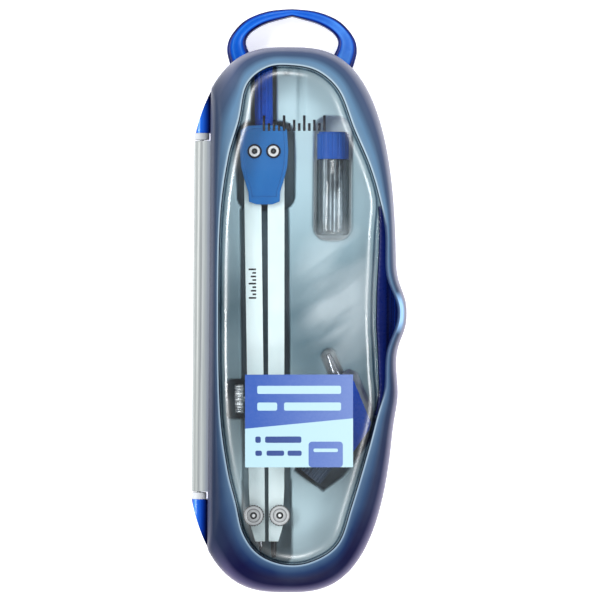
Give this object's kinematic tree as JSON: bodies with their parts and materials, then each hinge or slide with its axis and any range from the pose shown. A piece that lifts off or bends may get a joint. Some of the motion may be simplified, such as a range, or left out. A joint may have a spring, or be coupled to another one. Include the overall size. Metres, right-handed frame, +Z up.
{
  "type": "drafting instrument case",
  "caption": "Oval hinged case with a clear window, holding a metal compass, a tube of spare leads and a pen adapter in a formed tray.",
  "frame": {"origin": "centre of the closed case's footprint, on the surface that it lies on", "axes": "+Y towards the carrying loop, +Z up through the window, -X the hinge side"},
  "size_m": [0.0748, 0.2042, 0.0242],
  "materials": {
    "base_plastic": "gloss, slightly translucent royal blue",
    "frosted_plastic": "frosted translucent blue-grey",
    "window_plastic": "clear formed sheet",
    "tray_plastic": "matte grey-green formed sheet",
    "label_paper": "coated printed label",
    "pin_steel": "drawn wire",
    "collar_plastic": "natural nylon",
    "compass_plastic": "satin blue moulding",
    "leg_metal": "satin bright",
    "screw_metal": "nickel plated, knurled",
    "needle_steel": "hardened point",
    "graphite": "graphite lead",
    "tube_clear": "clear styrene tube",
    "adapter_plastic": "gloss blue moulding",
    "black_plastic": "black knurled moulding"
  },
  "bodies": {
    "root": {"base_shell": "base_plastic", "tray_insert": "tray_plastic", "hinge_pin": "pin_steel", "hinge_collars": "collar_plastic"},
    "lid": {"lid_frame": "frosted_plastic", "lid_window": "window_plastic", "label_sticker": "label_paper"},
    "compass": {"compass_head_front": "compass_plastic", "compass_head_back": "compass_plastic", "compass_grip": "compass_plastic", "head_screws": "screw_metal", "head_nuts": "screw_metal"},
    "left_leg": {"leg_left": "leg_metal", "point_insert": "leg_metal", "needle_point": "needle_steel"},
    "right_leg": {"leg_right": "leg_metal", "compass_lead": "graphite"},
    "left_thumb_screw": {"point_thumb_screw": "screw_metal"},
    "right_thumb_screw": {"lead_thumb_screw": "screw_metal"},
    "clamp_screw": {"insert_clamp_screw": "screw_metal"},
    "tube": {"lead_tube": "tube_clear", "spare_leads": "graphite"},
    "cap": {"tube_cap": "compass_plastic"},
    "adapter": {"adapter_body": "adapter_plastic", "adapter_stem": "needle_steel"},
    "pen_screw": {"adapter_screw": "black_plastic"}
  },
  "joints": [
    {"name": "lid_hinge", "type": "hinge", "parent": "root", "child": "lid", "pos_m": [-0.0347, 0, 0.01215], "axis": [0, -1, 0], "range_deg": [0, 180]},
    {"name": "compass_lift", "type": "slide", "parent": "root", "child": "compass", "axis": [0, 0, 1], "range_m": [0, 0.0038]},
    {"name": "left_leg_pivot", "type": "hinge", "parent": "compass", "child": "left_leg", "pos_m": [-0.0162, 0.0519, 0.0092], "axis": [0, 0, -1], "range_deg": [0, 0.7]},
    {"name": "right_leg_pivot", "type": "hinge", "parent": "compass", "child": "right_leg", "pos_m": [-0.0096, 0.052, 0.0092], "axis": [0, 0, 1], "range_deg": [0, 0.7]},
    {"name": "left_thumb_screw_turn", "type": "hinge", "parent": "left_leg", "child": "left_thumb_screw", "pos_m": [-0.01557, -0.07551, 0.0122], "axis": [0, 0, 1], "continuous": true},
    {"name": "right_thumb_screw_turn", "type": "hinge", "parent": "right_leg", "child": "right_thumb_screw", "pos_m": [-0.00637, -0.07537, 0.0122], "axis": [0, 0, 1], "continuous": true},
    {"name": "clamp_screw_turn", "type": "hinge", "parent": "left_leg", "child": "clamp_screw", "pos_m": [-0.01948, -0.03486, 0.0092], "axis": [0.9999, 0.0152, 0], "continuous": true},
    {"name": "tube_lift", "type": "slide", "parent": "root", "child": "tube", "axis": [0, 0, 1], "range_m": [0, 0.0038]},
    {"name": "cap_pull", "type": "slide", "parent": "tube", "child": "cap", "axis": [0, 1, 0], "range_m": [0, 0.0038]},
    {"name": "adapter_lift", "type": "slide", "parent": "root", "child": "adapter", "axis": [0, 0, 1], "range_m": [0, 0.0038]},
    {"name": "pen_screw_turn", "type": "hinge", "parent": "adapter", "child": "pen_screw", "pos_m": [0.00973, -0.05456, 0.0107], "axis": [0.6088, 0.7934, 0], "continuous": true}
  ],
  "couplings": [
    {"joint": "right_leg_pivot", "follows": "left_leg_pivot", "ratio": 1}
  ]
}
